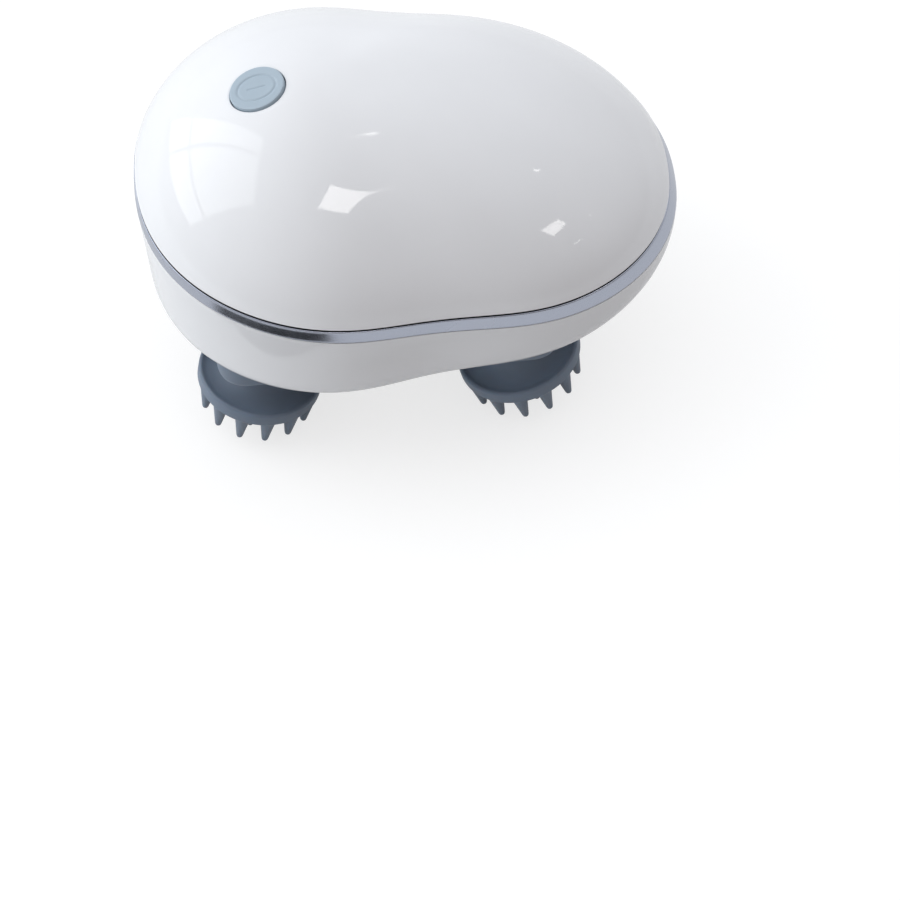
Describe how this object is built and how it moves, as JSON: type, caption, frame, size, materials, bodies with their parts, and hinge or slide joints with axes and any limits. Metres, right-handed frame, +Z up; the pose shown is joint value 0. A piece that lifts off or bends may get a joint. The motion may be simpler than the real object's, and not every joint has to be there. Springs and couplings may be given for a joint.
{
  "type": "electric scalp massager",
  "caption": "Bean-shaped electric scalp massager: domed case with a trim band and a press button, standing on nodding finger-studded silicone heads.",
  "frame": {"origin": "on the ground under the middle of the case, where the lowest fingers stand", "axes": "+Z up; +X from the button end towards the tail; +Y to the side away from the upper picture's camera"},
  "size_m": [0.142, 0.1122, 0.0957],
  "materials": {
    "case_white": "high gloss",
    "band_silver": "satin silver plating",
    "button_blue": "satin",
    "silicone_grey": "soft satin",
    "seal_black": "matt",
    "dark_plastic": "moulded",
    "acetal": "moulded",
    "steel": "bright",
    "bronze": "sintered",
    "board_green": "solder mask",
    "cell_wrap": "shrink sleeve",
    "wire_sleeve": "plain"
  },
  "bodies": {
    "housing": {"top_cover": "case_white", "bottom_cover": "case_white", "trim_band": "band_silver", "cover_seal": "seal_black", "cover_screws": "steel", "push_switch": "steel", "switch_board": "board_green", "switch_board_screws": "steel", "main_board": "board_green", "main_board_screws": "steel", "motor_can": "steel", "motor_end_cap": "dark_plastic", "worm_bush": "bronze", "motor_strap": "steel", "strap_screws": "steel", "battery_cell": "cell_wrap", "battery_cradle": "acetal", "gearbox_base": "acetal", "gearbox_cover": "acetal", "gearbox_screws": "steel", "gear_axle": "steel", "hub_bushes": "bronze", "journal_bushes": "bronze", "charge_board": "board_green", "charge_socket": "steel", "charge_plug": "silicone_grey", "wiring": "wire_sleeve", "collar_fl": "silicone_grey", "collar_fr": "silicone_grey", "collar_bl": "silicone_grey", "collar_br": "silicone_grey"},
    "button": {"button_cap": "button_blue", "switch_plunger": "dark_plastic"},
    "worm_shaft": {"motor_shaft": "steel", "worm": "acetal"},
    "drive": {"drive_gear": "acetal"},
    "crank_fl": {"crank_gear_fl": "acetal", "crank_pin_fl": "steel", "pin_screw_fl": "steel"},
    "head_fl": {"head_stem_fl": "dark_plastic", "stem_bushes_fl": "bronze", "massage_head_fl": "silicone_grey"},
    "crank_fr": {"crank_gear_fr": "acetal", "crank_pin_fr": "steel", "pin_screw_fr": "steel"},
    "head_fr": {"head_stem_fr": "dark_plastic", "stem_bushes_fr": "bronze", "massage_head_fr": "silicone_grey"},
    "crank_bl": {"crank_gear_bl": "acetal", "crank_pin_bl": "steel", "pin_screw_bl": "steel"},
    "head_bl": {"head_stem_bl": "dark_plastic", "stem_bushes_bl": "bronze", "massage_head_bl": "silicone_grey"},
    "crank_br": {"crank_gear_br": "acetal", "crank_pin_br": "steel", "pin_screw_br": "steel"},
    "head_br": {"head_stem_br": "dark_plastic", "stem_bushes_br": "bronze", "massage_head_br": "silicone_grey"}
  },
  "joints": [
    {"name": "drive_turn", "type": "hinge", "parent": "housing", "child": "drive", "pos_m": [-0.00876, 0, 0.04669], "axis": [0, 0, 1], "continuous": true},
    {"name": "crank_fl_turn", "type": "hinge", "parent": "housing", "child": "crank_fl", "pos_m": [-0.03863, -0.0266, 0.03669], "axis": [0, 0, 1], "continuous": true},
    {"name": "head_fl_turn", "type": "hinge", "parent": "crank_fl", "child": "head_fl", "pos_m": [-0.03863, -0.0266, 0.03669], "axis": [0.1994, 0, 0.9799], "continuous": true},
    {"name": "crank_fr_turn", "type": "hinge", "parent": "housing", "child": "crank_fr", "pos_m": [0.02111, -0.0266, 0.03669], "axis": [0, 0, 1], "continuous": true},
    {"name": "head_fr_turn", "type": "hinge", "parent": "crank_fr", "child": "head_fr", "pos_m": [0.02111, -0.0266, 0.03669], "axis": [-0.1994, 0, 0.9799], "continuous": true},
    {"name": "crank_bl_turn", "type": "hinge", "parent": "housing", "child": "crank_bl", "pos_m": [-0.03863, 0.0266, 0.03669], "axis": [0, 0, 1], "continuous": true},
    {"name": "head_bl_turn", "type": "hinge", "parent": "crank_bl", "child": "head_bl", "pos_m": [-0.03863, 0.0266, 0.03669], "axis": [-0.1994, 0, 0.9799], "continuous": true},
    {"name": "crank_br_turn", "type": "hinge", "parent": "housing", "child": "crank_br", "pos_m": [0.02111, 0.0266, 0.03669], "axis": [0, 0, 1], "continuous": true},
    {"name": "head_br_turn", "type": "hinge", "parent": "crank_br", "child": "head_br", "pos_m": [0.02111, 0.0266, 0.03669], "axis": [0.1994, 0, 0.9799], "continuous": true},
    {"name": "worm_turn", "type": "hinge", "parent": "housing", "child": "worm_shaft", "pos_m": [-0.00876, 0.0176, 0.06019], "axis": [1, 0, 0], "continuous": true},
    {"name": "button_press", "type": "slide", "parent": "housing", "child": "button", "axis": [0.233, 0, -0.9725], "range_m": [0, 0.0005], "stiffness_N_per_m": 300}
  ],
  "couplings": [
    {"joint": "crank_fl_turn", "follows": "drive_turn", "ratio": -1.6667},
    {"joint": "head_fl_turn", "follows": "drive_turn", "ratio": 1.6667},
    {"joint": "crank_fr_turn", "follows": "drive_turn", "ratio": -1.6667},
    {"joint": "head_fr_turn", "follows": "drive_turn", "ratio": 1.6667},
    {"joint": "crank_bl_turn", "follows": "drive_turn", "ratio": -1.6667},
    {"joint": "head_bl_turn", "follows": "drive_turn", "ratio": 1.6667},
    {"joint": "crank_br_turn", "follows": "drive_turn", "ratio": -1.6667},
    {"joint": "head_br_turn", "follows": "drive_turn", "ratio": 1.6667},
    {"joint": "worm_turn", "follows": "drive_turn", "ratio": 36}
  ]
}
